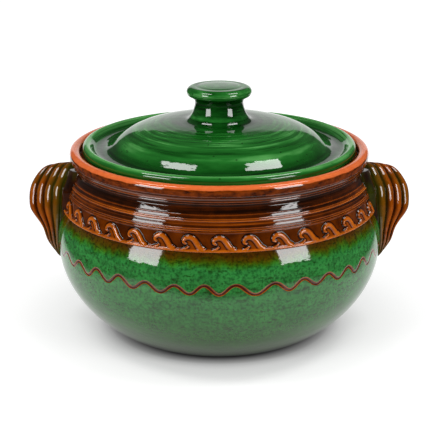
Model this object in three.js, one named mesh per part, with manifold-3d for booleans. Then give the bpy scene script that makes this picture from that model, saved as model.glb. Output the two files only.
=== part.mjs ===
// Glazed earthenware cooking pot with a loose domed lid.
// Millimetres, +Z up, origin at the centre of the base's underside, handles along X, front along -Y.
import * as THREE from 'three';
import { mergeVertices } from 'three/addons/utils/BufferGeometryUtils.js';
import Module from 'manifold-3d';

// Driving sizes
const FIT = 0.3;            // gap left at every joint between two pieces
const BASE_R = 78;          // flat the pot stands on
const BELLY_R = 130.9;      // widest radius of the belly
const BELLY_Z = 78;         // height of the widest radius
const WALL = 7.2;           // thrown wall
const FLOOR = 9;            // thickness of the bottom
const BAND_Z = 102.8;       // lower edge of the relief band
const BAND_H = 14.4;        // height of the relief band
const BAND_R = 125.0;       // outside radius at the band's lower edge
const BAND_TAPER = 3.0;     // radius lost between the band's lower and upper edge
const BAND_T = 2.0;         // thickness of the strip under the relief
const RELIEF = 1.6;         // height of the scroll above the strip
const WAVES = 36;           // scrolls round the band
const WAIST_R = 115.2;      // narrowest radius of the neck
const WAIST_Z = 133;        // its height
const RIDGE = 0.9;          // height of the turned rings on the neck
const LIP_R = 119;          // outside of the lip
const LIP_Z = 141.4;        // lower corner of the lip
const LIP_H = 7.8;          // height of the lip
const LIP_T = 8;            // thickness of the lip
const LEDGE_DROP = 5.2;     // lid ledge below the lip's top
const LEDGE_W = 7.6;        // width of the lid ledge
const LID_PLAY = 2.4;       // gap round the lid, inside the lip
const LID_T = 6;            // thickness of the lid's dome
const LID_RISE = 19.1;      // top of the dome above the lip's top
const COLLAR_H = 3.5;       // collar that rises from the dome to the knob
const GUTTER_W = 8.7;       // flat floor of the gutter round the dome
const FLANGE_H = 9;         // locating flange under the lid
const FLANGE_T = 5;         // its thickness
const FLANGE_PLAY = 1.4;    // its gap inside the ledge
const KNOB_R = 25.8;        // head of the knob
const KNOB_WAIST = 19.2;    // stem of the knob
const KNOB_FOOT = 21.8;     // foot of the knob
const KNOB_H = 25.5;        // height of the knob
const HANDLE_H = 92.3;      // height of a handle, from the lip's lower corner down to its tail
const HANDLE_REACH = 29;    // how far a handle's rear edge stands out from the wall
const HANDLE_FORE = 26;     // how far the front edge lies before the pot's middle
const HANDLE_T = 9.2;       // strap thickness
const SMEAR_SINK = 1.5;     // how far the end of the smeared joint lies under the wall's face
const SMEAR_SWELL = 0.18;   // its swell, as a share of its width
const STRAP_CROWN = 1.2;    // swell of the strap across its width
const RIBS = 4;             // ribs along the strap
const RIB_H = 2.6;          // height of a rib
const SEG = 72;             // facets round the thrown pieces, two to a scroll

const LIP_TOP = LIP_Z + LIP_H;
const LIP_IN = LIP_R - LIP_T;
const LEDGE_Z = LIP_TOP - LEDGE_DROP;
const LEDGE_IN = LIP_IN - LEDGE_W;
const BAND_TOP = BAND_Z + BAND_H;
const LID_R = LIP_IN - LID_PLAY;
const CROWN = LIP_TOP + LID_RISE;
const LID_TOP = CROWN + COLLAR_H;

const clamp01 = (v) => Math.min(1, Math.max(0, v));

// Swell of the belly from the base (0) to the widest radius (1)
const swell = (u) => Math.pow(1 - Math.pow(1 - clamp01(u), 2.2), 0.8);

// Outside radius of the pot below the band
function bellyOut(z) {
  if (z <= BELLY_Z) return BASE_R + (BELLY_R - BASE_R) * swell(z / BELLY_Z);
  const w = (z - BELLY_Z) / (BAND_Z - BELLY_Z);
  return BELLY_R - (BELLY_R - BAND_R) * Math.pow(w, 1.9);
}

// Outside radius of the strip the scroll stands on
const bandOut = (z) => BAND_R - BAND_TAPER * (z - BAND_Z) / BAND_H;

// Outside radius of the plain neck above the band
function neckOut(z) {
  const w = clamp01((z - BAND_TOP) / (WAIST_Z - BAND_TOP));
  return bandOut(BAND_TOP) + (WAIST_R - bandOut(BAND_TOP)) * Math.pow(w, 1.25);
}

// A solid of revolution about Z from [radius, height] pairs that start and end on the axis
// or close on themselves
function turned(profile, segments) {
  const pts = profile.map(([r, z]) => new THREE.Vector2(r, z));
  const geo = new THREE.LatheGeometry(pts, segments);
  geo.rotateX(Math.PI / 2);
  return weld(geo);
}

function weld(geo) {
  const g = geo.index ? geo.toNonIndexed() : geo;
  g.deleteAttribute('normal');
  g.deleteAttribute('uv');
  const merged = mergeVertices(g, 1e-4);
  const old = merged.index.array;
  const keep = [];
  for (let i = 0; i < old.length; i += 3) {
    const [a, b, c] = [old[i], old[i + 1], old[i + 2]];
    if (a !== b && b !== c && a !== c) keep.push(a, b, c);
  }
  merged.setIndex(keep);
  return faceOutward(merged);
}

// Turns the faces round if the signed volume is negative
function faceOutward(geo) {
  const p = geo.attributes.position;
  const ix = geo.index.array;
  const [a, b, c] = [new THREE.Vector3(), new THREE.Vector3(), new THREE.Vector3()];
  let volume = 0;
  for (let i = 0; i < ix.length; i += 3) {
    a.fromBufferAttribute(p, ix[i]);
    b.fromBufferAttribute(p, ix[i + 1]);
    c.fromBufferAttribute(p, ix[i + 2]);
    volume += a.dot(b.cross(c));
  }
  if (volume < 0) {
    const flipped = [];
    for (let i = 0; i < ix.length; i += 3) flipped.push(ix[i], ix[i + 2], ix[i + 1]);
    geo.setIndex(flipped);
  }
  return geo;
}

// Pot body: outside from the base up to the lip, then down the inside to the floor
const RING_Z = [0.22, 0.5, 0.76].map((k) => BAND_TOP + k * (WAIST_Z - BAND_TOP));

function bodyOutside(grow) {
  const pts = [[BASE_R + grow * 0.4, -grow]];
  const rows = [0.006, 0.04, 0.1, 0.2, 0.34, 0.52, 0.74, 1].map((k) => k * BELLY_Z);
  for (const z of rows) pts.push([bellyOut(z) + grow, z]);
  for (const k of [0.5, 1]) {
    const z = BELLY_Z + k * (BAND_Z - FIT - BELLY_Z);
    pts.push([bellyOut(z) + grow, z]);
  }
  return pts;
}

function neckOutside(grow) {
  const half = 1.1;
  const pts = [[neckOut(BAND_TOP) + grow, BAND_TOP + FIT]];
  for (const z of RING_Z) {
    pts.push([neckOut(z) + RIDGE + grow, z]);
    pts.push([neckOut(z + half) + grow, z + half]);
  }
  pts.push([WAIST_R + grow, WAIST_Z]);
  const cove = LIP_Z - WAIST_Z;
  pts.push([WAIST_R + 0.35 * (LIP_R - WAIST_R) + grow, WAIST_Z + 0.6 * cove]);
  pts.push([LIP_R - 0.6 + grow, LIP_Z - grow]);
  pts.push([LIP_R + grow, LIP_Z + 0.16 * LIP_H - grow]);
  pts.push([LIP_R + grow, LIP_Z + 0.6 * LIP_H]);
  return pts;
}

function bodyProfile() {
  const seat = BAND_T + FIT;
  const pts = [[0, 0], ...bodyOutside(0)];
  pts.push([bandOut(BAND_Z) - seat, BAND_Z - FIT]);
  pts.push([bandOut(BAND_TOP) - seat, BAND_TOP + FIT]);
  pts.push(...neckOutside(0));
  const mid = LIP_R - LIP_T / 2;
  pts.push([LIP_R - 0.2 * LIP_T, LIP_TOP - 0.12 * LIP_H]);
  pts.push([mid, LIP_TOP]);
  pts.push([LIP_IN, LIP_TOP - 0.22 * LIP_H]);
  pts.push([LIP_IN, LEDGE_Z]);
  pts.push([LEDGE_IN + 0.6, LEDGE_Z]);
  pts.push([LEDGE_IN, LEDGE_Z - 0.6]);
  pts.push([WAIST_R - WALL, WAIST_Z - 3]);
  pts.push([bandOut(BAND_TOP) - BAND_T - WALL, BAND_TOP]);
  pts.push([bandOut(BAND_Z) - BAND_T - WALL, BAND_Z]);
  pts.push([BELLY_R - 1.6 - WALL, BELLY_Z + 0.55 * (BAND_Z - BELLY_Z)]);
  const inBase = BASE_R - 8;
  for (const k of [1, 0.7, 0.45, 0.25, 0.1, 0.02]) {
    const r = inBase + (BELLY_R - WALL - inBase) * swell(k);
    pts.push([r, FLOOR + k * (BELLY_Z - FLOOR)]);
  }
  pts.push([inBase, FLOOR], [0, FLOOR]);
  return pts;
}

// Inside radius of the neck, between the ledge and the waist
function neckIn(z) {
  const [top, low] = [LEDGE_Z - 0.6, WAIST_Z - 3];
  return WAIST_R - WALL + (LEDGE_IN - WAIST_R + WALL) * clamp01((z - low) / (top - low));
}

// Lid: crown, gutter and rounded edge on top, then ledge face, flange and hollow underneath
function lidProfile() {
  const crest = LIP_TOP + 4.0;
  const gutter = LIP_TOP - 1.4;
  const edge = LIP_TOP + 0.6;
  const foot = LEDGE_Z + FIT;
  const flat = KNOB_FOOT + 1.4;
  const domeR = LID_R - 12.6 - GUTTER_W;
  const flangeZ = LEDGE_Z - FLANGE_H;
  const flangeOut = Math.min(LEDGE_IN, neckIn(flangeZ)) - FLANGE_PLAY;
  const flangeIn = flangeOut - FLANGE_T;
  const pts = [[0, LID_TOP], [flat, LID_TOP], [flat + 1.6, CROWN + 0.25 * COLLAR_H]];
  // The crown falls slowly from the collar and steeply near the gutter
  const drop = CROWN - gutter;
  const fall = (k) => drop * (0.42 * k * k + 0.58 * Math.pow(k, 5.15));
  for (const k of [0.1, 0.36, 0.55, 0.7, 0.82, 0.92, 1]) {
    pts.push([flat + k * (domeR - flat), CROWN - fall(k)]);
  }
  pts.push([LID_R - 12.6, gutter - 0.2]);
  pts.push([LID_R - 9.6, gutter + 0.6]);
  pts.push([LID_R - 7.0, crest - 2.2]);
  pts.push([LID_R - 5.1, crest - 0.5]);
  pts.push([LID_R - 3.4, crest]);
  pts.push([LID_R - 1.5, crest - 0.8]);
  pts.push([LID_R - 0.3, crest - 2.2]);
  pts.push([LID_R, edge]);
  pts.push([LID_R - 0.4, foot + 1.6], [LID_R - 1.8, foot]);
  pts.push([flangeOut + 0.8, foot], [flangeOut, foot - 0.8]);
  pts.push([flangeOut - 0.3, flangeZ + 1.2], [flangeOut - 1.3, flangeZ]);
  pts.push([flangeIn + 1.2, flangeZ], [flangeIn + 0.2, flangeZ + 1]);
  pts.push([flangeIn, gutter - LID_T]);
  const inR = Math.min(domeR - 0.66 * LID_T, flangeIn - 1);
  for (const k of [1, 0.87, 0.7, 0.5, 0.3]) pts.push([k * inR, CROWN - LID_T - fall(k)]);
  pts.push([0, CROWN - LID_T]);
  return pts;
}

// Knob: flared foot, waisted stem and a flattened head with a dimple on top
function knobProfile() {
  const z0 = LID_TOP + FIT;
  const at = (k) => z0 + k * KNOB_H;
  return [
    [0, z0], [KNOB_FOOT - 0.8, z0], [KNOB_FOOT, at(0.03)],
    [KNOB_FOOT - 0.4, at(0.1)], [0.5 * (KNOB_FOOT + KNOB_WAIST), at(0.2)],
    [KNOB_WAIST + 0.3, at(0.32)], [KNOB_WAIST, at(0.42)],
    [KNOB_WAIST + 0.35, at(0.5)], [KNOB_WAIST + 1.6, at(0.58)],
    [KNOB_R - 3, at(0.645)], [KNOB_R - 0.9, at(0.71)], [KNOB_R, at(0.805)],
    [KNOB_R - 0.5, at(0.89)], [KNOB_R - 1.9, at(0.955)], [KNOB_R - 4.4, at(0.995)],
    [KNOB_R - 7.4, at(1)], [KNOB_R - 11.5, at(0.97)], [0.3 * KNOB_R, at(0.925)], [0, at(0.9)],
  ];
}

// One scroll of the band, in scroll widths across and band heights up: the crest hooks to the left
const SCROLL = [
  [0, 0.19], [0.13, 0.22], [0.25, 0.33], [0.29, 0.46], [0.24, 0.52], [0.16, 0.47], [0.09, 0.53],
  [0.12, 0.65], [0.25, 0.75], [0.42, 0.75], [0.57, 0.65], [0.72, 0.45], [0.86, 0.26], [1, 0.19],
];

// Relief band: a ring with a plain back, and a front at two levels with the scroll outline between
function bandGeometry() {
  const tri = [];
  const step = (2 * Math.PI) / WAVES;
  const place = (u, v, lift) => {
    const a = -Math.PI / 2 + u * step;
    const z = BAND_Z + v * BAND_H;
    // Keeps the ring's flats in line with those of the pot behind it
    const half = (Math.floor(2 * u + 1e-6) + 0.5) * (step / 2) - Math.PI / 2;
    const onEdge = Math.abs(2 * u - Math.round(2 * u)) < 1e-6;
    const flat = onEdge ? 1 : Math.cos(step / 4) / Math.cos(a - half);
    const r = (bandOut(z) + lift) * flat;
    return [r * Math.cos(a), r * Math.sin(a), z];
  };
  const face = (outline, lift, shift) => {
    const v2 = outline.map(([u, v]) => new THREE.Vector2(u, v));
    const loop = THREE.ShapeUtils.isClockWise(v2) ? v2.reverse() : v2;
    for (const f of THREE.ShapeUtils.triangulateShape(loop, [])) {
      for (const i of f) tri.push(...place(loop[i].x + shift, loop[i].y, lift));
    }
  };
  const quad = (p, q, r, s) => tri.push(...p, ...q, ...r, ...p, ...r, ...s);
  for (let w = 0; w < WAVES; w += 1) {
    const low = [[0, 0], [0.5, 0], [1, 0]];
    const high = [[1, 1], [0.5, 1], [0, 1]];
    face([...low, ...[...SCROLL].reverse()], RELIEF, w);
    face([...SCROLL, ...high], 0, w);
    for (let i = 0; i + 1 < SCROLL.length; i += 1) {
      const [a, b] = [SCROLL[i], SCROLL[i + 1]];
      quad(
        place(a[0] + w, a[1], RELIEF), place(b[0] + w, b[1], RELIEF),
        place(b[0] + w, b[1], 0), place(a[0] + w, a[1], 0),
      );
    }
    for (const k of [0, 0.5]) {
      const [a, b] = [k + w, k + 0.5 + w];
      quad(place(a, 0, -BAND_T), place(b, 0, -BAND_T), place(b, 0, RELIEF), place(a, 0, RELIEF));
      quad(place(a, 1, 0), place(b, 1, 0), place(b, 1, -BAND_T), place(a, 1, -BAND_T));
      quad(place(b, 0, -BAND_T), place(a, 0, -BAND_T), place(a, 1, -BAND_T), place(b, 1, -BAND_T));
    }
  }
  const geo = new THREE.BufferGeometry();
  geo.setAttribute('position', new THREE.Float32BufferAttribute(tri, 3));
  return weld(geo);
}

// Outside radius of the plain wall at any height below the lip
function wallOut(z) {
  if (z <= BAND_Z) return bellyOut(z);
  return z <= BAND_TOP ? bandOut(z) : neckOut(z);
}

// Handle: a ribbed strap from under the lip down to the belly, turned so that its face looks
// forward and out, and leaning back towards the top. Each row gives the rear edge and then the
// front edge, as shares of the reach out from the wall, of the reach forward and of the height
// above the tail. Its last two shares, forward and up, are where the joint is smeared on to the wall.
const STATIONS = [
  [-0.19, -0.15, 0.845, -0.3, 0.3, 0.915, 1.38, 0.94],
  [0.5, -0.1, 0.868, -0.1, 0.33, 0.92, 1.42, 0.94],
  [0.84, -0.02, 0.85, 0.06, 0.43, 0.915, 1.46, 0.935],
  [0.98, 0.22, 0.752, 0.12, 0.78, 0.822, 1.5, 0.85],
  [1, 0.28, 0.696, 0.14, 0.9, 0.757, 1.5, 0.77],
  [0.97, 0.4, 0.619, 0.12, 0.97, 0.67, 1.44, 0.68],
  [0.87, 0.48, 0.549, 0.1, 1, 0.592, 1.34, 0.6],
  [0.51, 0.61, 0.442, -0.03, 0.97, 0.44, 1.1, 0.44],
  [0.4, 0.65, 0.4, -0.06, 0.95, 0.373, 1.02, 0.37],
  [0.25, 0.7, 0.285, -0.06, 0.92, 0.266, 0.98, 0.264],
  [0.03, 0.81, 0.188, -0.05, 0.88, 0.18, 0.94, 0.176],
  [-0.19, 0.85, 0.13, -0.24, 0.92, 0.112, 0.98, 0.11],
];
function strapPoint(reach, forward, share) {
  const y = -forward * HANDLE_FORE;
  const z = LIP_Z - (1 - share) * HANDLE_H;
  const r = wallOut(z) + reach * HANDLE_REACH;
  return new THREE.Vector3(Math.sqrt(r * r - y * y), y, z);
}
const rearPath = new THREE.CatmullRomCurve3(STATIONS.map((row) => strapPoint(...row.slice(0, 3))));
const frontPath = new THREE.CatmullRomCurve3(STATIONS.map((row) => strapPoint(...row.slice(3, 6))));
const smearPath = new THREE.CatmullRomCurve3(STATIONS.map((row) => (
  strapPoint(-SMEAR_SINK / HANDLE_REACH, ...row.slice(6))
)));

// Point on the strap's smooth outer face: t along the strap, s from its rear edge to its front
function strapFace(t, s) {
  const k = clamp01(t);
  return rearPath.getPoint(k).lerp(frontPath.getPoint(k), s);
}

function strapNormal(t, s) {
  const d = 1e-3;
  const along = strapFace(t + d, s).sub(strapFace(t - d, s));
  const across = strapFace(t, s + d).sub(strapFace(t, s - d));
  return across.cross(along).normalize();
}

function strapGeometry() {
  const rows = 21;
  const perRib = 4;
  const outer = [];
  for (let i = 0; i <= RIBS * perRib; i += 1) outer.push(i / (RIBS * perRib));
  // Back of the strap, rounded at the rear edge
  const back = [[0.6, 1], [0.3, 0.9], [0.12, 0.7], [0.02, 0.35]];
  const ring = (t) => {
    const fade = clamp01((1 - t) / 0.2);
    const pts = outer.map((s) => {
      const w = (s * RIBS) % 1;
      const rib = RIB_H * (0.3 + 0.7 * fade) * Math.sqrt(Math.max(0, 1 - (2 * w - 1) ** 2));
      const crown = 4 * s * (1 - s) * STRAP_CROWN;
      return strapFace(t, s).addScaledVector(strapNormal(t, s), rib + crown);
    });
    const front = strapFace(t, 1);
    const foot = smearPath.getPoint(t);
    const middle = front.clone().lerp(foot, 0.5);
    const out = new THREE.Vector3(middle.x, middle.y, 0).normalize();
    pts.push(middle.addScaledVector(out, SMEAR_SWELL * front.distanceTo(foot)), foot);
    for (const [s, share] of back) {
      const thick = HANDLE_T * (0.55 + 0.45 * fade) * share;
      pts.push(strapFace(t, s).addScaledVector(strapNormal(t, s), -thick));
    }
    return pts;
  };
  const rings = [];
  for (let i = 0; i <= rows; i += 1) rings.push(ring(i / rows));
  const n = rings[0].length;
  const tri = [];
  const push = (...v) => v.forEach((p) => tri.push(p.x, p.y, p.z));
  for (let i = 0; i < rows; i += 1) {
    for (let j = 0; j < n; j += 1) {
      const k = (j + 1) % n;
      const [a, b, c, d] = [rings[i][j], rings[i][k], rings[i + 1][k], rings[i + 1][j]];
      push(a, b, c, a, c, d);
    }
  }
  for (const [ends, flip] of [[rings[0], true], [rings[rows], false]]) {
    const mid = ends.reduce((m, p) => m.add(p), new THREE.Vector3()).divideScalar(n);
    for (let j = 0; j < n; j += 1) {
      const [a, b] = [ends[j], ends[(j + 1) % n]];
      if (flip) push(b, a, mid);
      else push(a, b, mid);
    }
  }
  const geo = new THREE.BufferGeometry();
  geo.setAttribute('position', new THREE.Float32BufferAttribute(tri, 3));
  return weld(geo);
}

// The pot's outside grown by the joint gap, filled to the axis: what the handles are cut back to
function cutterProfile() {
  const over = RELIEF + FIT;
  return [
    [0, -FIT], ...bodyOutside(FIT),
    [bandOut(BAND_Z) + over, BAND_Z - FIT],
    [bandOut(BAND_TOP) + over, BAND_TOP + FIT],
    ...neckOutside(FIT),
    [LIP_R + FIT, LIP_TOP + 2], [0, LIP_TOP + 2],
  ];
}

const wasm = await Module();
wasm.setup();

function toManifold(geo) {
  return new wasm.Manifold(new wasm.Mesh({
    numProp: 3,
    vertProperties: new Float32Array(geo.attributes.position.array),
    triVerts: new Uint32Array(geo.index.array),
  }));
}

function fromManifold(man) {
  const mesh = man.getMesh();
  const geo = new THREE.BufferGeometry();
  geo.setAttribute('position', new THREE.BufferAttribute(new Float32Array(mesh.vertProperties), 3));
  geo.setIndex(Array.from(mesh.triVerts));
  return weld(geo);
}

function handleGeometry() {
  const strap = toManifold(strapGeometry());
  const cutter = toManifold(turned(cutterProfile(), SEG));
  const cut = strap.subtract(cutter);
  const bodies = cut.decompose();
  bodies.sort((a, b) => b.volume() - a.volume());
  return fromManifold(bodies[0]);
}

const glaze = (name, color, roughness) => {
  const m = new THREE.MeshStandardMaterial({ color, roughness, metalness: 0 });
  m.name = name;
  return m;
};
const GREEN_POT = glaze('pot_glaze', 0x3f7f3a, 0.12);
const BROWN = glaze('brown_glaze', 0x7a3a08, 0.12);
const GREEN_LID = glaze('lid_glaze', 0x23702a, 0.1);

const part = new THREE.Group();
part.name = 'cooking_pot';

function add(name, geometry, material) {
  geometry.computeVertexNormals();
  const mesh = new THREE.Mesh(geometry, material);
  mesh.name = name;
  part.add(mesh);
}

const right = handleGeometry();
const left = faceOutward(right.clone().scale(-1, 1, 1));

add('pot_body', turned(bodyProfile(), SEG), GREEN_POT);
add('scroll_band', bandGeometry(), BROWN);
add('handle_right', right, BROWN);
add('handle_left', left, BROWN);
add('lid', turned(lidProfile(), 48), GREEN_LID);
add('lid_knob', turned(knobProfile(), 28), GREEN_LID);

export default part;
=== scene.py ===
"""Glazed earthenware cooking pot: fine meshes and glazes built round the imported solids."""

import math

import bpy
import numpy as np
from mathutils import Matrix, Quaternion, Vector


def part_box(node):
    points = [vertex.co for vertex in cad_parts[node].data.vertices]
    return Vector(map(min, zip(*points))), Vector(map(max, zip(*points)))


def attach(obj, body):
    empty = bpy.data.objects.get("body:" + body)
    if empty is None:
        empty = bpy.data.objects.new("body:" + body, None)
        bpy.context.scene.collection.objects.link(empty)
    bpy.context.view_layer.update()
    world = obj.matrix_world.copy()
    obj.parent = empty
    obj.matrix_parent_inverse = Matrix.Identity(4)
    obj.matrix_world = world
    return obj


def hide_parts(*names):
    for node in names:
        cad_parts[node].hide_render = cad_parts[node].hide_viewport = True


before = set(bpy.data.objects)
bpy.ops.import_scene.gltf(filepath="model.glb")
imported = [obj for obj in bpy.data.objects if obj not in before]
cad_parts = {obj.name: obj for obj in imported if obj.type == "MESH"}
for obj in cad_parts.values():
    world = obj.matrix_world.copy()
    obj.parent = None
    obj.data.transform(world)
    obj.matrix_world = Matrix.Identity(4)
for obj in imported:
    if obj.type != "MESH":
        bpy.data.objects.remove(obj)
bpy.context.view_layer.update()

MM = 0.001

# Sizes of the thrown pot in millimetres, as in the solids
BASE_R = 78.0
BELLY_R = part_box("pot_body")[1].x / MM
BELLY_Z = 78.0
WALL = 7.2
FLOOR = 9.0
BAND_Z = 102.8
BAND_H = 14.4
BAND_R = 125.0
BAND_TAPER = 3.0
BAND_T = 2.0
BAND_TOP = BAND_Z + BAND_H
SEAM = 0.3
WAIST_R = 115.2
WAIST_Z = 133.0
LIP_R = 119.0
LIP_Z = 141.4
LIP_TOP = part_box("pot_body")[1].z / MM
LIP_T = 8.0
LEDGE_Z = LIP_TOP - 5.2
LEDGE_IN = LIP_R - LIP_T - 7.6
LID_R = LIP_R - LIP_T - 2.4
LID_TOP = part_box("lid")[1].z / MM
COLLAR_H = 2.3
CROWN = LID_TOP - COLLAR_H
EDGE_W = 12.6
GUTTER_W = 8.7
GUTTER_Z = LIP_TOP - 1.4
DOME_R = LID_R - EDGE_W - GUTTER_W
LID_T = 6.0
KNOB_R = 25.8
KNOB_WAIST = 19.2
KNOB_FOOT = 21.8
COLLAR_R = KNOB_FOOT + 1.4
KNOB_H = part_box("lid_knob")[1].z / MM - LID_TOP - SEAM

# Turned rings on the neck: height, how far they stand out, half width
NECK_RINGS = [
    (118.0, 0.4, 0.3), (119.4, 0.4, 0.3), (121.9, 0.2, 0.3), (124.2, 0.5, 0.4),
    (125.4, 0.45, 0.35), (128.2, 0.3, 0.35), (135.6, 0.3, 0.35), (137.2, 0.3, 0.35),
]

# Incised wavy line on the belly. The lag, in radians, spreads the waves to the right of the middle.
LINE_Z = 75.5
LINE_SWING = 3.4
LINE_WAVES = 37
LINE_HALF = 1.2
LINE_DEEP = 0.2
LINE_LAG = 2.6

# Scroll band: the ridge's half width from its foot to its hook, and the web's share of the relief
SCROLLS = 36
SCROLL_W = 2 * math.pi * BAND_R / SCROLLS
RELIEF = 1.6
RIDGE_HALF = [2.2, 2.2, 1.9, 1.5, 0.9]
FILL_SHARE = 0.4

# Strap handles
HANDLE_H = 92.3
HANDLE_REACH = 29.0
HANDLE_FORE = 26.0
HANDLE_T = 9.2
RIBS = 4
RIB_H = 2.6
STRAP_CROWN = 1.2
SMEAR_SINK = 1.5
SMEAR_SWELL = 0.18
STRAP_SINK = 4.0


def srgb(*rgb):
    """Linear colour with alpha from 0 to 255 display values."""
    lin = [c / 255 / 12.92 if c <= 10 else ((c / 255 + 0.055) / 1.055) ** 2.4 for c in rgb]
    return (*lin, 1.0)


def smoothstep(lo, hi, x):
    t = np.clip((x - lo) / (hi - lo), 0, 1)
    return t * t * (3 - 2 * t)


def curve(points, steps):
    """Centripetal Catmull-Rom curve through the points, steps samples to each span."""
    p = np.array(points, float)
    p = np.vstack([2 * p[0] - p[1], p, 2 * p[-1] - p[-2]])
    out = []
    for a, b, c, d in zip(p[:-3], p[1:-2], p[2:-1], p[3:]):
        k = [max(np.linalg.norm(q), 1e-6) ** 0.5 for q in (b - a, c - b, d - c)]
        m1 = k[1] * ((b - a) / k[0] - (c - a) / (k[0] + k[1]) + (c - b) / k[1])
        m2 = k[1] * ((c - b) / k[1] - (d - b) / (k[1] + k[2]) + (d - c) / k[2])
        t = np.arange(steps)[:, None] / steps
        out.append(
            (2 * t**3 - 3 * t**2 + 1) * b + (t**3 - 2 * t**2 + t) * m1
            + (3 * t**2 - 2 * t**3) * c + (t**3 - t**2) * m2
        )
    out.append(p[-2][None])
    return np.vstack(out)


def make_object(name, verts_mm, faces, fields=None):
    mesh = bpy.data.meshes.new(name)
    mesh.from_pydata(np.asarray(verts_mm) * MM, [], faces)
    for key, values in (fields or {}).items():
        mesh.attributes.new(key, "FLOAT", "POINT").data.foreach_set("value", np.ravel(values))
    mesh.validate()
    mesh.shade_smooth()
    obj = bpy.data.objects.new(name, mesh)
    bpy.context.scene.collection.objects.link(obj)
    return obj


def grid_faces(rows, cols, wrap_rows=False):
    """Quads of a grid whose columns close on themselves."""
    r = np.arange(rows if wrap_rows else rows - 1)[:, None]
    c = np.arange(cols)[None, :]
    up = (r + 1) % rows
    right = (c + 1) % cols
    quads = np.stack([r * cols + c, r * cols + right, up * cols + right, up * cols + c], -1)
    return quads.reshape(-1, 4).tolist()


def lathe(name, profile, segments, offset=None, fields=None):
    """Turned piece. The profile starts and ends on the axis. Offset and fields are functions of theta,
    radius and height: offset moves points outwards, fields are kept for the materials. Theta is 0 at
    the front and grows towards the right handle."""
    prof = np.asarray(profile, float)
    body = prof[1:-1]
    theta = np.arange(segments) * 2 * math.pi / segments
    r = np.repeat(body[:, :1], segments, 1)
    if offset is not None:
        r = r + offset(theta[None, :], body[:, 0:1], body[:, 1:2])
    z = np.repeat(body[:, 1:2], segments, 1)
    verts = np.stack([r * np.sin(theta), -r * np.cos(theta), z], -1).reshape(-1, 3)
    count = len(verts)
    verts = np.vstack([verts, [[0, 0, prof[0, 1]], [0, 0, prof[-1, 1]]]])
    faces = grid_faces(len(body), segments)
    last = (len(body) - 1) * segments
    for i in range(segments):
        j = (i + 1) % segments
        faces.append([count, j, i])
        faces.append([count + 1, last + i, last + j])
    data = {}
    for key, fn in (fields or {}).items():
        grid = np.broadcast_to(fn(theta[None, :], body[:, 0:1], body[:, 1:2]), r.shape).ravel()
        data[key] = np.append(grid, [grid[0], grid[-1]])
    return make_object(name, verts, faces, data)


# Pot body
def swell(u):
    return (1 - (1 - np.clip(u, 0, 1)) ** 2.2) ** 0.8


def belly_out(z):
    low = BASE_R + (BELLY_R - BASE_R) * swell(z / BELLY_Z)
    w = np.clip((z - BELLY_Z) / (BAND_Z - BELLY_Z), 0, 1)
    return np.where(z <= BELLY_Z, low, BELLY_R - (BELLY_R - BAND_R) * w**1.9)


def band_out(z):
    return BAND_R - BAND_TAPER * (z - BAND_Z) / BAND_H


def neck_out(z):
    w = np.clip((z - BAND_TOP) / (WAIST_Z - BAND_TOP), 0, 1)
    top = band_out(BAND_TOP)
    return top + (WAIST_R - top) * w**1.25


def ring_height(z):
    return sum(h * np.exp(-(((z - at) / half) ** 2)) for at, h, half in NECK_RINGS)


def body_profile():
    z_low = np.concatenate([np.linspace(0, 1, 14) ** 2 * 12 + 0.05, np.arange(13.5, 66, 1.5)])
    z_line = np.arange(66, 85, 0.4)
    z_high = np.arange(85.5, BAND_Z - SEAM, 1.2)
    z_belly = np.concatenate([z_low, z_line, z_high, [BAND_Z - SEAM]])
    outside = np.column_stack([belly_out(z_belly), z_belly])
    seat = [(band_out(BAND_Z) - BAND_T - SEAM, BAND_Z - SEAM),
            (band_out(BAND_TOP) - BAND_T - SEAM, BAND_TOP + SEAM)]
    z_neck = np.arange(BAND_TOP + SEAM, WAIST_Z + 1, 0.2)
    neck = np.column_stack([neck_out(z_neck) + ring_height(z_neck), z_neck])
    z_cove = np.arange(WAIST_Z + 1, LIP_Z - 0.8, 0.2)
    flare = ((z_cove - WAIST_Z) / (LIP_Z - WAIST_Z)) ** 5
    cove = np.column_stack([WAIST_R + (LIP_R - 1.2 - WAIST_R) * flare + ring_height(z_cove), z_cove])
    lip_in = LIP_R - LIP_T
    lip = curve([
        (LIP_R - 0.9, LIP_Z - 0.5), (LIP_R - 0.1, LIP_Z + 0.4), (LIP_R, LIP_Z + 2.6),
        (LIP_R - 0.1, LIP_Z + 4.6), (LIP_R - 1.2, LIP_TOP - 1.0), (LIP_R - LIP_T / 2, LIP_TOP),
        (lip_in + 0.9, LIP_TOP - 0.9), (lip_in, LIP_TOP - 2.4), (lip_in, LEDGE_Z),
    ], 5)
    inside = [(LEDGE_IN + 0.6, LEDGE_Z), (LEDGE_IN, LEDGE_Z - 0.6)]
    inside += [(WAIST_R - WALL, WAIST_Z - 3), (band_out(BAND_TOP) - BAND_T - WALL, BAND_TOP)]
    in_base = BASE_R - 8
    for k in np.linspace(1, 0, 24) ** 1.6:
        r = in_base + (BELLY_R - WALL - in_base) * swell(k)
        inside.append((r, FLOOR + k * (BELLY_Z - FLOOR)))
    inside.append((in_base * 0.6, FLOOR - 0.2))
    foot = [(0, 0), (BASE_R - 2, 0)]
    return np.vstack([foot, outside, seat, neck, cove, lip, inside, [(0, FLOOR - 0.2)]])


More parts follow.
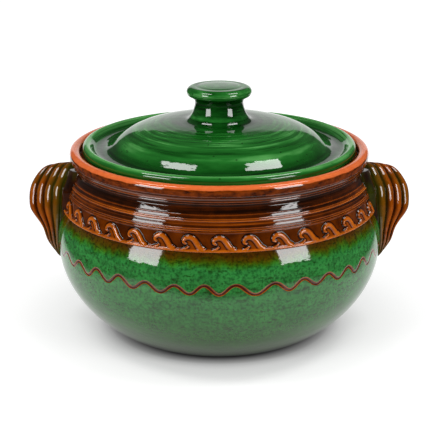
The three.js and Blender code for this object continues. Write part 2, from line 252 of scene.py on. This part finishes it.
def line_mask(theta, r, z):
    """1 in the middle of the incised line on the outside, 0 beyond its edges."""
    wob = 0.5 * np.sin(3 * theta + 1) + 0.35 * np.sin(11 * theta + 2)
    lag = LINE_LAG * smoothstep(0, 0.38, theta) * (1 - smoothstep(0.5, 1.6, theta))
    phase = LINE_WAVES * theta + 0.25 * np.sin(5 * theta) - lag
    swing = LINE_SWING * (1 + 0.12 * np.sin(7 * theta + 0.5))
    centre = LINE_Z + wob - swing * np.cos(phase)
    slope = swing * LINE_WAVES * np.sin(phase) / BELLY_R
    d = np.abs(z - centre) / np.sqrt(1 + slope**2)
    outside = r > BELLY_R - WALL / 2
    return np.where(outside, np.clip(1 - d / LINE_HALF, 0, 1), 0)


def line_cut(theta, r, z):
    return -LINE_DEEP * smoothstep(0, 0.8, line_mask(theta, r, z))


def body_inside(theta, r, z):
    wall = np.where(z < BAND_Z, belly_out(z), WAIST_R)
    inner = (r < wall - WALL / 2) & (z > FLOOR - 1) & (z < LIP_TOP - 2)
    return np.where(inner, 1.0, 0.0)


def body_thin(theta, r, z):
    """How thin the glaze lies: thin on the rings, thick in the waist under the lip."""
    neck = (z > BAND_TOP) & (z < LIP_Z - 0.5)
    low = 0.05 + 0.15 * (1 - smoothstep(124, 130, z)) + 0.28 * smoothstep(136, 138.5, z)
    return np.where(neck, np.clip(low + 1.2 * ring_height(z), 0, 1), 0.0)


pot = lathe("pot", body_profile(), LINE_WAVES * 24, line_cut,
            {"line": line_mask, "inside": body_inside, "glaze_and_shading": body_thin})
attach(pot, "pot")
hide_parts("pot_body")

# Scroll band: a ridge that rises from the base line and hooks over to the left, in scroll widths
# across and band heights up, on a low web that joins it to the base line
RIM = [(1.02, 0.12), (0.93, 0.2), (0.85, 0.36), (0.77, 0.53), (0.68, 0.66), (0.56, 0.72), (0.45, 0.68),
       (0.38, 0.58), (0.38, 0.46), (0.45, 0.41)]
FOOT = [(0.36, 0.13), (0.45, 0.17), (0.53, 0.25)]
FILL = [(1.0, 0.12), (0.86, 0.36), (0.76, 0.54), (0.66, 0.67), (0.54, 0.71), (0.43, 0.66), (0.38, 0.55),
        (0.4, 0.43), (0.5, 0.36), (0.5, 0.24), (0.4, 0.12)]


def ridge(path, halves, x, y):
    """Round ridge along a path: its height from 0 to 1, and how far a point lies beyond its edge."""
    p = np.array(path)
    top = np.zeros(np.broadcast(x, y).shape)
    beyond = np.full(top.shape, 1e9)
    for a, b, start, end in zip(p[:-1], p[1:], halves[:-1], halves[1:]):
        d = b - a
        t = np.clip(((x - a[0]) * d[0] + (y - a[1]) * d[1]) / (d @ d), 0, 1)
        far = np.hypot(x - a[0] - t * d[0], y - a[1] - t * d[1])
        half = start + t * (end - start)
        top = np.maximum(top, np.sqrt(np.clip(1 - (far / half) ** 2, 0, 1)))
        beyond = np.minimum(beyond, far - half)
    return top, beyond


def inside_path(path, x, y):
    p = np.array(path)
    hit = np.zeros(np.broadcast(x, y).shape, bool)
    for a, b in zip(p, np.roll(p, -1, 0)):
        if a[1] == b[1]:
            continue
        cross = (a[1] > y) != (b[1] > y)
        hit ^= cross & (x < a[0] + (y - a[1]) / (b[1] - a[1]) * (b[0] - a[0]))
    return hit


def scroll_height(x, y):
    """Relief from 0 to 1 over one scroll, and how much glaze pools along its outline."""
    size = np.array([SCROLL_W, BAND_H])
    rim = curve(np.array(RIM) * size, 6)
    foot = curve(np.array(FOOT) * size, 6)
    fill = curve(np.array(FILL) * size, 4)
    halves = np.interp(np.linspace(0, 1, len(rim)), np.linspace(0, 1, len(RIDGE_HALF)), RIDGE_HALF)
    height, beyond = ridge(foot, np.full(len(foot), RIDGE_HALF[-1]), x, y)
    for s in (-SCROLL_W, 0, SCROLL_W):
        top, past = ridge(rim, halves, x + s, y)
        web = FILL_SHARE * inside_path(fill, x + s, y)
        height = np.maximum(height, np.maximum(top, web))
        beyond = np.minimum(beyond, past)
    base = np.sqrt(np.clip(1 - ((y - 1.0) / 1.25) ** 2, 0, 1))
    beads = 0.35 * np.exp(-(((y - BAND_H + 0.7) / 0.45) ** 2))
    pool = np.exp(-(((beyond - 0.3) / 0.5) ** 2))
    return np.maximum(height, np.maximum(base, beads)), pool * (1 - base)


def make_band():
    cols, rows = 64, 60
    x = np.arange(cols) * SCROLL_W / cols
    y = np.linspace(0, BAND_H, rows)
    height, pool = [np.tile(part, (1, SCROLLS)) for part in scroll_height(x[None, :], y[:, None])]
    theta = (np.arange(cols * SCROLLS) / cols - 0.55) * 2 * math.pi / SCROLLS
    z = BAND_Z + y[:, None]
    r = band_out(z) + RELIEF * height
    back_z = np.array([[BAND_TOP], [BAND_Z]])
    back_r = np.broadcast_to(band_out(back_z) - BAND_T, (2, len(theta)))
    r = np.vstack([r, back_r])
    z = np.broadcast_to(np.vstack([z, back_z]), r.shape)
    verts = np.stack([r * np.sin(theta), -r * np.cos(theta), z], -1).reshape(-1, 3)
    glaze_and_shading = np.vstack([0.32 + 0.98 * height - 0.8 * pool, np.zeros((2, len(theta)))])
    return make_object("scrolls", verts, grid_faces(len(r), len(theta), True), {"glaze_and_shading": glaze_and_shading})


band = make_band()
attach(band, "pot")
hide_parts("scroll_band")

# Handles: rear edge and front edge of the strap, from the lip down to the tail, as shares of the
# reach out from the wall, of the reach forward and of the height above the tail. The last two
# shares, forward and up, are where the joint is smeared on to the wall.
STATIONS = np.array([
    (-0.19, -0.15, 0.845, -0.3, 0.3, 0.915, 1.38, 0.94),
    (0.5, -0.1, 0.868, -0.1, 0.33, 0.92, 1.42, 0.94),
    (0.84, -0.02, 0.85, 0.06, 0.43, 0.915, 1.46, 0.935),
    (0.98, 0.22, 0.752, 0.12, 0.78, 0.822, 1.5, 0.85),
    (1, 0.28, 0.696, 0.14, 0.9, 0.757, 1.5, 0.77),
    (0.97, 0.4, 0.619, 0.12, 0.97, 0.67, 1.44, 0.68),
    (0.87, 0.48, 0.549, 0.1, 1, 0.592, 1.34, 0.6),
    (0.51, 0.61, 0.442, -0.03, 0.97, 0.44, 1.1, 0.44),
    (0.4, 0.65, 0.4, -0.06, 0.95, 0.373, 1.02, 0.37),
    (0.25, 0.7, 0.285, -0.06, 0.92, 0.266, 0.98, 0.264),
    (0.03, 0.81, 0.188, -0.05, 0.88, 0.18, 0.94, 0.176),
    (-0.19, 0.85, 0.13, -0.24, 0.92, 0.112, 0.98, 0.11),
])
# Back of the strap: place across it and share of its thickness
STRAP_BACK = [(0.6, 1), (0.45, 0.97), (0.3, 0.9), (0.12, 0.7), (0.02, 0.35)]


def wall_out(z):
    """Outside radius of the plain wall at any height below the lip."""
    return np.where(z <= BAND_Z, belly_out(z), np.where(z <= BAND_TOP, band_out(z), neck_out(z)))


def strap_path(out, forward, up):
    z = LIP_Z - (1 - up) * HANDLE_H
    r = wall_out(z) + out * HANDLE_REACH
    y = -forward * HANDLE_FORE
    return curve(np.column_stack([np.sqrt(r**2 - y**2), y, z]), 12)


def make_handle(name, side):
    rear = strap_path(*STATIONS.T[:3])
    front = strap_path(*STATIONS.T[3:6])
    foot = strap_path(-SMEAR_SINK / HANDLE_REACH, *STATIONS.T[6:])
    rows = len(rear)
    s_face = np.linspace(0, 1, RIBS * 16 + 1)

    def face(s):
        return rear[:, None] * (1 - s[None, :, None]) + front[:, None] * s[None, :, None]

    def normals(s):
        along = np.gradient(face(s), axis=0)
        across = np.broadcast_to((front - rear)[:, None], along.shape)
        n = np.cross(across, along)
        return n / np.linalg.norm(n, axis=-1, keepdims=True)

    fade = np.clip((1 - np.linspace(0, 1, rows)) / 0.2, 0, 1)[:, None]
    w = (s_face * RIBS) % 1
    w[-1] = 1
    rib = np.sqrt(np.clip(1 - (2 * w - 1) ** 2, 0, 1))[None]
    lift = RIB_H * (0.3 + 0.7 * fade) * rib + 4 * (s_face * (1 - s_face))[None] * STRAP_CROWN
    outer = face(s_face) + normals(s_face) * lift[..., None]
    s_back = np.array([s for s, _ in STRAP_BACK])
    share = np.array([k for _, k in STRAP_BACK])[None]
    inner = face(s_back) - normals(s_back) * (HANDLE_T * (0.55 + 0.45 * fade) * share)[..., None]
    u = np.linspace(0, 1, 9)[1:][None, :, None]
    smear = front[:, None] * (1 - u) + foot[:, None] * u
    radial = smear * (1, 1, 0) / np.linalg.norm(smear[..., :2], axis=-1, keepdims=True)
    width = np.linalg.norm(foot - front, axis=-1)[:, None, None]
    smear = smear + radial * SMEAR_SWELL * width * 4 * u * (1 - u)
    pts = np.concatenate([outer, smear, inner], 1)
    # What lies inside the pot's wall stays within the wall
    least = wall_out(pts[..., 2]) - STRAP_SINK
    pts[..., :2] *= np.maximum(1, least / np.hypot(pts[..., 0], pts[..., 1]))[..., None]
    pts[..., 0] *= side
    cols = pts.shape[1]
    faces = grid_faces(rows, cols)
    faces.append(list(range(cols))[::-1])
    faces.append([(rows - 1) * cols + i for i in range(cols)])
    if side > 0:
        faces = [f[::-1] for f in faces]
    # Ribs are lighter on their crests and dark in the grooves where the glaze pools. The smear and the
    # strap's back get the darkest level of all, -0.1: painted shade of the gap between the strap and the
    # neck.
    crest = np.broadcast_to(rib**3, (rows, len(s_face)))
    rest = pts.shape[1] - len(s_face)
    glaze_and_shading = np.concatenate([crest, np.full((rows, rest), -0.1)], 1)
    front_rib = np.broadcast_to(smoothstep(0.6, 0.95, s_face), (rows, len(s_face)))
    green = np.concatenate([front_rib, np.zeros((rows, rest))], 1)
    tail = smoothstep(0.72, 0.95, np.linspace(0, 1, rows))[:, None]
    green = np.maximum(green * 0.8, tail)
    fields = {"glaze_and_shading": glaze_and_shading, "green": green, "strap": np.ones(glaze_and_shading.shape)}
    handle = make_object(name, pts.reshape(-1, 3), faces, fields)
    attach(handle, "pot")
    return handle


handle_right = make_handle("strap_right", 1)
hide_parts("handle_right")
handle_left = make_handle("strap_left", -1)
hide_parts("handle_left")


# Lid and knob
def crown_fall(k):
    """Drop of the dome at a share of its width: slow by the collar, steep by the gutter."""
    return (CROWN - GUTTER_Z) * (0.535 * k**2 + 0.465 * k**5.5)


def lid_profile():
    crest, foot = LIP_TOP + 4.0, LEDGE_Z + SEAM
    k = np.linspace(0.12, 0.93, 60)
    rings = 0.012 * np.sin(k * 11 * 2 * math.pi) * np.sin(k * math.pi)
    dome = np.column_stack([COLLAR_R + k * (DOME_R - COLLAR_R), CROWN - crown_fall(k) + rings])
    collar = curve([
        (COLLAR_R + 0.6, LID_TOP), (COLLAR_R + 1.8, LID_TOP - 1.2), (COLLAR_R + 3.4, CROWN + 0.4),
        (COLLAR_R + 5.2, CROWN + 0.08), dome[0],
    ], 6)[:-1]
    rim = curve([
        dome[-1], (DOME_R - 1.2, GUTTER_Z + 2.2), (DOME_R + 2.4, GUTTER_Z + 0.3),
        (LID_R - EDGE_W - 3, GUTTER_Z - 0.2), (LID_R - EDGE_W, GUTTER_Z - 0.2),
        (LID_R - EDGE_W + 3, GUTTER_Z + 0.6), (LID_R - 7.0, crest - 2.2), (LID_R - 5.1, crest - 0.5),
        (LID_R - 3.4, crest), (LID_R - 1.5, crest - 0.8), (LID_R - 0.3, crest - 2.2),
        (LID_R, LIP_TOP + 0.6), (LID_R - 0.4, foot + 1.6), (LID_R - 1.8, foot),
    ], 6)[1:]
    out = LEDGE_IN - 1.4
    under = [(out + 0.8, foot), (out, foot - 0.8), (out - 0.3, LEDGE_Z - 7.8), (out - 1.3, LEDGE_Z - 9),
             (out - 3.8, LEDGE_Z - 9), (out - 4.8, LEDGE_Z - 8), (out - 5, GUTTER_Z - LID_T)]
    q = np.linspace(1, 0.05, 24)
    hollow = np.column_stack([q * (DOME_R - 0.66 * LID_T), CROWN - LID_T - crown_fall(q)])
    return np.vstack([[(0, LID_TOP)], collar, dome, rim, under, hollow, [(0, CROWN - LID_T)]])


def knob_profile():
    z0 = LID_TOP + SEAM
    stem = [
        (KNOB_FOOT + 1.9, 0), (KNOB_FOOT + 0.9, 0.055), (KNOB_FOOT, 0.114), (KNOB_WAIST + 1.7, 0.192),
        (KNOB_WAIST + 0.85, 0.286), (KNOB_WAIST + 0.25, 0.38), (KNOB_WAIST, 0.47),
        (KNOB_WAIST + 0.2, 0.54), (KNOB_WAIST + 1.3, 0.595),
    ]
    head = [
        (KNOB_R - 3.2, 0.65), (KNOB_R - 0.9, 0.71), (KNOB_R, 0.8), (KNOB_R - 0.4, 0.87),
        (KNOB_R - 1.6, 0.925), (KNOB_R - 3.6, 0.962), (KNOB_R - 6, 0.968), (KNOB_R - 8, 0.966),
        (KNOB_R - 11.5, 0.982), (0.3 * KNOB_R, 0.997), (1, 1),
    ]
    body = curve([(r, z0 + k * KNOB_H) for r, k in stem + head], 6)
    return np.vstack([[(0, z0)], body, [(0, z0 + KNOB_H)]])


def lid_glaze_and_shading(theta, r, z):
    """How light the lid's glaze is, by radius: darkest in a ring round the knob, which is a painted
    reflection and shade of the knob, thick in the gutter and thin on the edge.
    """
    # The low values out to about 40 mm paint the knob's reflection and shade on the lid.
    at = [0, 24, 30, 36, 52, 67, 73, 77, 83.5, 88, 97, 101, 104.5, 107, 109]
    glaze_and_shading = [0.1, 0.12, 0.08, 0.25, 0.5, 0.55, 0.4, 0.6, 0.35, 0.15, 0.15, 0.6, 0.95, 0.7, 0.3]
    return np.interp(r, at, glaze_and_shading)


def lid_under(theta, r, z):
    """1 below the lid's edge and in its hollow."""
    k = np.clip((r - COLLAR_R) / (DOME_R - COLLAR_R), 0, 1)
    crown = CROWN - crown_fall(k)
    return np.where((z < LEDGE_Z + 1.5) | ((z < crown - 2.5) & (r < DOME_R)), 1.0, 0.0)


def knob_glaze_and_shading(theta, r, z):
    """How light the knob's glaze is, by its share of the height: the light band round the head's rim is a
    painted highlight, and the dark just under the head painted shade.
    """
    # 0.8 at the head's rim paints its highlight, 0.05 just under the head paints its shade.
    at = [0, 0.06, 0.1, 0.2, 0.4, 0.58, 0.68, 0.8, 0.92, 1]
    glaze_and_shading = [0.15, 0.45, 0.5, 0.2, 0.12, 0.05, 0.3, 0.8, 0.5, 0.5]
    return np.interp((z - LID_TOP) / KNOB_H, at, glaze_and_shading)


def none(theta, r, z):
    return 0.0 * z


lid = lathe("lid_dome", lid_profile(), 360, None, {"glaze_and_shading": lid_glaze_and_shading, "inside": lid_under})
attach(lid, "lid")
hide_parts("lid")
knob = lathe("knob", knob_profile(), 180, None, {"glaze_and_shading": knob_glaze_and_shading, "inside": none})
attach(knob, "lid")
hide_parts("lid_knob")


# Materials
class Tree:
    """Small helper that adds nodes to a material or a world and links them."""

    def __init__(self, owner, shader="Principled BSDF", place="Object"):
        owner.use_nodes = True
        self.owner = owner
        self.nodes = owner.node_tree.nodes
        self.links = owner.node_tree.links
        self.shader = self.nodes[shader]
        self.place = self.nodes.new("ShaderNodeTexCoord").outputs[place]

    def add(self, kind, inputs=None, **props):
        node = self.nodes.new(kind)
        for key, value in props.items():
            setattr(node, key, value)
        for key, value in (inputs or {}).items():
            self.put(node.inputs[key], value)
        return node

    def put(self, socket, value):
        if isinstance(value, bpy.types.NodeSocket):
            self.links.new(value, socket)
        else:
            socket.default_value = value

    def math(self, op, a, b=0.0, c=0.0):
        return self.add("ShaderNodeMath", {0: a, 1: b, 2: c}, operation=op).outputs[0]

    def field(self, name):
        return self.add("ShaderNodeAttribute", attribute_name=name).outputs["Fac"]

    def noise(self, scale, detail=3.0, stretch=None, rough=0.5):
        place = self.place
        if stretch:
            place = self.add("ShaderNodeMapping", {"Vector": place, "Scale": stretch}).outputs[0]
        settings = {"Vector": place, "Scale": scale, "Detail": detail, "Roughness": rough}
        return self.add("ShaderNodeTexNoise", settings).outputs["Fac"]

    def ramp(self, value, stops):
        node = self.add("ShaderNodeValToRGB", {"Fac": value})
        ramp = node.color_ramp
        while len(ramp.elements) > 1:
            ramp.elements.remove(ramp.elements[-1])
        for i, (at, colour) in enumerate(stops):
            stop = ramp.elements[0] if i == 0 else ramp.elements.new(at)
            stop.position = at
            stop.color = colour if isinstance(colour, tuple) else (colour, colour, colour, 1)
        return node.outputs["Color"]

    def map_range(self, value, low, high):
        ends = {"Value": value, "From Min": low, "From Max": high}
        return self.add("ShaderNodeMapRange", ends).outputs[0]

    def spread(self, value, amount):
        """A value from 0 to 1 turned into one that varies by the amount about 0."""
        return self.math("MULTIPLY", self.math("SUBTRACT", value, 0.5), amount)

    def mix(self, factor, a, b, blend="MIX"):
        node = self.add("ShaderNodeMix", data_type="RGBA", blend_type=blend)
        self.put(node.inputs[0], factor)
        self.put(node.inputs[6], a)
        self.put(node.inputs[7], b)
        return node.outputs[2]

    def height(self):
        return self.add("ShaderNodeSeparateXYZ", {0: self.place}).outputs["Z"]

    def vector(self, op, a, b=None, scale=None):
        node = self.add("ShaderNodeVectorMath", {0: a}, operation=op)
        if b is not None:
            self.put(node.inputs[1], b)
        if scale is not None:
            self.put(node.inputs["Scale"], scale)
        return node.outputs["Value"] if op == "LENGTH" else node.outputs["Vector"]

    def turned_streaks(self, across, around):
        """Noise drawn out round the axis, as brush and throwing marks are."""
        flat = self.vector("MULTIPLY", self.place, (1, 1, 0))
        turn = self.vector("SCALE", self.vector("NORMALIZE", flat), scale=around)
        rise = self.math("ADD", self.vector("LENGTH", flat), self.height())
        lift = self.add("ShaderNodeCombineXYZ", {"Z": self.math("MULTIPLY", rise, across)}).outputs[0]
        place = self.vector("ADD", turn, lift)
        settings = {"Vector": place, "Scale": 1.0, "Detail": 4.0}
        return self.add("ShaderNodeTexNoise", settings).outputs["Fac"]

    def bump(self, value, strength, distance):
        node = self.add("ShaderNodeBump", {"Height": value, "Strength": strength, "Distance": distance})
        self.put(self.shader.inputs["Normal"], node.outputs[0])

    def specks(self, scale, size, share):
        """Scattered dots: one in each chosen cell of a Voronoi pattern."""
        cell = self.add("ShaderNodeTexVoronoi", {"Vector": self.place, "Scale": scale})
        near = self.math("LESS_THAN", cell.outputs["Distance"], size)
        pick = self.add("ShaderNodeSeparateColor", {0: cell.outputs["Color"]}).outputs[0]
        return self.math("MULTIPLY", near, self.math("LESS_THAN", pick, share))


def brown(tree, glaze_and_shading):
    """Honey-brown glaze: amber where it is thin, nearly black where it pools; on the handles' smear and
    back the darkest level is painted shade.
    """
    level = tree.math("ADD", glaze_and_shading, tree.spread(tree.noise(110, 4), 0.3))
    return tree.ramp(level, [
        (0.0, srgb(26, 7, 0)), (0.2, srgb(66, 24, 0)), (0.5, srgb(128, 56, 2)),
        (0.75, srgb(168, 82, 6)), (1.0, srgb(214, 112, 24)),
    ])


def glaze_surface(tree, low, high):
    """Gloss of a fired glaze: nearly smooth, with slight waves along the throwing marks."""
    tree.put(tree.shader.inputs["Roughness"], tree.ramp(tree.noise(70, 4), [(0.3, low), (0.8, high)]))
    tree.bump(tree.noise(60, 3, (1, 1, 2.5)), 0.1, 0.002)


def belly_colour(t):
    """Green glaze: darker towards the foot, olive brown by the band, mottled and specked all over."""
    span = 0.2
    mm = MM / span
    runs = t.spread(t.noise(170, 4, (1, 1, 0.2)), 0.009)
    drift = t.spread(t.noise(14, 2), 0.008)
    level = t.math("DIVIDE", t.math("ADD", t.height(), t.math("ADD", runs, drift)), span)
    zones = t.ramp(level, [
        (2 * mm, srgb(24, 34, 8)), (12 * mm, srgb(32, 56, 14)), (34 * mm, srgb(32, 82, 22)),
        (56 * mm, srgb(36, 104, 40)), (90.5 * mm, srgb(46, 124, 56)), (93.5 * mm, srgb(50, 112, 28)),
        (95.5 * mm, srgb(62, 90, 8)), (98 * mm, srgb(74, 62, 0)), (101.5 * mm, srgb(76, 44, 0)),
    ])
    cloud = t.ramp(t.noise(60, 8, (1, 1, 2.2), 0.7), [(0.3, 0.62), (0.7, 1.25)])
    green = t.mix(1.0, zones, cloud, "MULTIPLY")
    grain = t.ramp(t.noise(430, 3, None, 0.6), [(0.36, 0.5), (0.52, 1.06), (0.7, 1.22)])
    grainy = t.mix(1.0, green, grain, "MULTIPLY")
    green = t.mix(t.ramp(t.height(), [(0.015, 0.45), (0.06, 1.0)]), green, grainy)
    dashes = t.ramp(t.noise(150, 5, (0.6, 0.6, 2.0), 0.65), [(0.58, 0.0), (0.66, 0.75)])
    green = t.mix(dashes, green, srgb(24, 44, 4))
    patch = t.ramp(t.noise(26, 4, (1, 1, 2.5)), [(0.42, 0.1), (0.62, 1.0)])
    for scale, size, share in ((520, 0.3, 0.4), (330, 0.26, 0.3), (190, 0.16, 0.22)):
        dots = t.math("MULTIPLY", t.specks(scale, size, share), patch)
        green = t.mix(t.math("MULTIPLY", dots, 0.75), green, srgb(26, 50, 6))
    line = t.field("line")
    tint = t.math("ADD", t.spread(t.noise(90, 3), 0.7), line)
    ink = t.ramp(tint, [(0.1, srgb(168, 70, 4)), (0.4, srgb(94, 32, 4)), (0.8, srgb(58, 12, 0))])
    return t.mix(t.ramp(line, [(0.02, 0.0), (0.16, 1.0)]), green, ink)


def pot_material():
    """Green belly, brown neck, mottled honey under the lip, bare clay on the lip and the underside."""
    t = Tree(bpy.data.materials.new("pot_glaze"))
    green = belly_colour(t)
    streaks = t.spread(t.turned_streaks(900, 1.6), 0.9)
    neck = brown(t, t.math("ADD", t.field("glaze_and_shading"), streaks))
    clay = t.mix(t.noise(220, 5), srgb(210, 88, 34), srgb(236, 124, 66))
    clay = t.mix(t.math("MULTIPLY", t.specks(400, 0.2, 0.3), 0.4), clay, srgb(130, 54, 16))
    mottle = t.noise(160, 5, (1, 1, 2), 0.65)
    honey = t.ramp(mottle, [(0.35, srgb(50, 14, 0)), (0.65, srgb(130, 54, 4))])
    z = t.math("ADD", t.height(), t.spread(t.noise(120, 3), 0.0014))
    colour = t.mix(t.math("GREATER_THAN", t.height(), (BAND_Z - 0.2) * MM), green, neck)
    colour = t.mix(t.map_range(z, (LIP_Z - 0.8) * MM, (LIP_Z + 0.4) * MM), colour, honey)
    colour = t.mix(t.map_range(z, (LIP_Z + 5.0) * MM, (LIP_Z + 5.6) * MM), colour, clay)
    inner = t.mix(t.noise(40, 4), srgb(104, 50, 8), srgb(146, 78, 20))
    colour = t.mix(t.field("inside"), colour, inner)
    colour = t.mix(t.math("LESS_THAN", t.height(), 0.3 * MM), colour, clay)
    t.put(t.shader.inputs["Base Color"], colour)
    glaze_surface(t, 0.035, 0.08)
    return t.owner


def brown_material():
    """Brown glaze of the band and the handles, with olive patches on the handles."""
    t = Tree(bpy.data.materials.new("brown_glaze"))
    drift = t.spread(t.noise(75, 4, (1, 1, 0.6), 0.65), 0.5)
    colour = brown(t, t.math("ADD", t.math("MULTIPLY_ADD", t.field("glaze_and_shading"), 0.55, 0.1), drift))
    olive = t.mix(t.noise(90, 5), srgb(24, 36, 0), srgb(74, 88, 14))
    cloud = t.ramp(t.noise(55, 4, (1, 1, 0.5)), [(0.45, 0.0), (0.65, 0.5)])
    patch = t.math("MULTIPLY", cloud, t.field("strap"))
    share = t.math("MAXIMUM", t.math("MULTIPLY", t.field("green"), 0.8), patch)
    colour = t.mix(share, colour, olive)
    t.put(t.shader.inputs["Base Color"], colour)
    glaze_surface(t, 0.035, 0.08)
    return t.owner


def lid_material():
    """Deep green glaze brushed on round the axis, bare clay underneath."""
    t = Tree(bpy.data.materials.new("lid_glaze"))
    brush = t.spread(t.turned_streaks(420, 1.4), 1.1)
    fine = t.spread(t.turned_streaks(1000, 1.8), 0.8)
    cloud = t.spread(t.noise(40, 5), 0.3)
    level = t.math("ADD", t.field("glaze_and_shading"), t.math("ADD", t.math("ADD", brush, fine), cloud))
    colour = t.ramp(level, [
        (0.0, srgb(2, 42, 4)), (0.3, srgb(12, 72, 16)), (0.6, srgb(32, 106, 36)),
        (1.0, srgb(96, 172, 92)),
    ])
    colour = t.mix(t.math("MULTIPLY", t.specks(240, 0.2, 0.12), 0.6), colour, srgb(8, 36, 4))
    clay = t.mix(t.noise(220, 5), srgb(214, 92, 36), srgb(240, 126, 64))
    colour = t.mix(t.field("inside"), colour, clay)
    t.put(t.shader.inputs["Base Color"], colour)
    glaze_surface(t, 0.03, 0.06)
    return t.owner


pot.data.materials.append(pot_material())
BROWN = brown_material()
for piece in (band, handle_right, handle_left):
    piece.data.materials.append(BROWN)
GREEN = lid_material()
for piece in (lid, knob):
    piece.data.materials.append(GREEN)


# Stage: a white table that glows softly away from the pot and falls dark close round its foot as a
# painted contact shadow, a white sheet behind it, a dim room elsewhere.
# Each pair says where a fade starts and ends. The glow goes by distance from the axis, then strength.
FLOOR_HALF = 12.0
TABLE_SIDE = (0.3, 0.22)
TABLE_SPREAD = 0.45
TABLE_FRONT = (-0.28, -0.22)
# Painted contact shadow: the table's colour darkens inside the first pair of radii, and the glow below
# fades to nothing near the foot.
PAINTED_SHADOW_RADII = (0.079, 0.093)
GLOW_AND_PAINTED_SHADOW = [
    (0.08, 0.0), (0.09, 0.12), (0.1, 0.38), (0.125, 0.55), (0.17, 0.7), (0.22, 0.76),
    (0.6, 0.84), (1.0, 1.0),
]
SHEET_NARROW = 0.72
SHEET_SIDE = (0.46, 0.43)


def make_floor():
    """Floor whose table part, wider towards the back, is white and glows by its distance from the pot;
    close round the pot's foot its colour and glow fall to dark, a painted contact shadow.
    """
    mesh = bpy.data.meshes.new("floor")
    corners = [(x * FLOOR_HALF, y * FLOOR_HALF, 0) for x, y in ((-1, -1), (1, -1), (1, 1), (-1, 1))]
    mesh.from_pydata(corners, [], [(0, 1, 2, 3)])
    floor = bpy.data.objects.new("floor", mesh)
    bpy.context.scene.collection.objects.link(floor)
    t = Tree(bpy.data.materials.new("floor_white"))
    split = t.add("ShaderNodeSeparateXYZ", {0: t.place})
    wider = t.math("MULTIPLY", t.math("MAXIMUM", split.outputs["Y"], 0.0), TABLE_SPREAD)
    beside = t.math("SUBTRACT", t.math("ABSOLUTE", split.outputs["X"]), wider)
    across = t.map_range(beside, *TABLE_SIDE)
    ahead = t.map_range(split.outputs["Y"], *TABLE_FRONT)
    table = t.math("MULTIPLY", across, ahead)
    away = t.vector("LENGTH", t.place)
    # Base colour darkens close round the foot: painted contact shadow.
    plate_and_painted_shadow = t.mix(t.map_range(away, *PAINTED_SHADOW_RADII), srgb(40, 40, 40), srgb(188, 188, 188))
    t.put(t.shader.inputs["Base Color"], t.mix(table, srgb(90, 90, 90), plate_and_painted_shadow))
    t.put(t.shader.inputs["Roughness"], 0.7)
    t.put(t.shader.inputs["Specular IOR Level"], 0.0)
    t.put(t.shader.inputs["Emission Color"], (1, 1, 1, 1))
    # The glow fades to nothing close round the foot: painted contact shadow.
    t.put(t.shader.inputs["Emission Strength"], t.math("MULTIPLY", t.ramp(away, GLOW_AND_PAINTED_SHADOW), table))
    mesh.materials.append(t.owner)


make_floor()


def make_world():
    """White sheet behind the pot that narrows and fades upwards, and a dim room round it."""
    world = bpy.data.worlds.new("studio")
    bpy.context.scene.world = world
    t = Tree(world, "Background", "Generated")
    split = t.add("ShaderNodeSeparateXYZ", {0: t.place})
    up = split.outputs["Z"]
    lean = t.math("ADD", t.math("ABSOLUTE", split.outputs["X"]), t.math("MULTIPLY", up, SHEET_NARROW))
    across = t.map_range(lean, *SHEET_SIDE)
    fade = t.ramp(up, [(0.1, 0.95), (0.37, 0.55), (0.43, 0.1), (0.5, 0.0)])
    behind = t.math("GREATER_THAN", split.outputs["Y"], 0.0)
    sheet = t.math("MULTIPLY", t.math("MULTIPLY", across, fade), behind)
    depth = t.map_range(split.outputs["Y"], -1, 1)
    room = t.ramp(depth, [(0.0, 0.02), (0.5, 0.05), (1.0, 0.08)])
    t.put(t.shader.inputs["Color"], t.mix(sheet, room, (1, 1, 1, 1)))


make_world()

# Lamps: two large boxes low in front and two high at the sides
AIM = Vector((0, 0, 0.11))
MIDDLE_Z = 0.1
LAMP_FAR = 1.5
LAMP_RADIANCE = 9


def polar(azimuth, elevation):
    """Place of a lamp at an azimuth from the front towards +X, seen from the middle of the pot."""
    a, e = math.radians(azimuth), math.radians(elevation)
    flat = LAMP_FAR * math.cos(e)
    return Vector((flat * math.sin(a), -flat * math.cos(a), MIDDLE_Z + LAMP_FAR * math.sin(e)))


def softbox(name, place, width, height, roll=0.0):
    light = bpy.data.lights.new(name, "AREA")
    light.shape = "RECTANGLE"
    light.size = width
    light.size_y = height
    light.energy = 4 * width * height * LAMP_RADIANCE
    obj = bpy.data.objects.new(name, light)
    bpy.context.scene.collection.objects.link(obj)
    obj.location = place
    aim = (AIM - place).to_track_quat("-Z", "Y")
    obj.rotation_euler = (aim @ Quaternion((0, 0, 1), math.radians(roll))).to_euler()


for side in (-1, 1):
    softbox("front_box", polar(side * 51, 18), 0.55, 0.62)
    softbox("side_box", polar(side * 81 + 5, 61.8), 0.64, 0.33, -43 * side)

# Camera fitted to the photograph: focal length and image width in pixels, then its place and tilt
FOCAL = 1161.06
IMAGE_W = 440
EYE = (0.00065, -0.9, 0.3869)
TILT = 18.52
camera = bpy.data.cameras.new("camera")
camera.sensor_width = 36
camera.lens = camera.sensor_width * FOCAL / IMAGE_W
eye = bpy.data.objects.new("camera", camera)
eye.location = EYE
eye.rotation_euler = (math.radians(90 - TILT), 0, 0)
bpy.context.scene.collection.objects.link(eye)
bpy.context.scene.camera = eye
bpy.context.scene.view_settings.view_transform = "Standard"
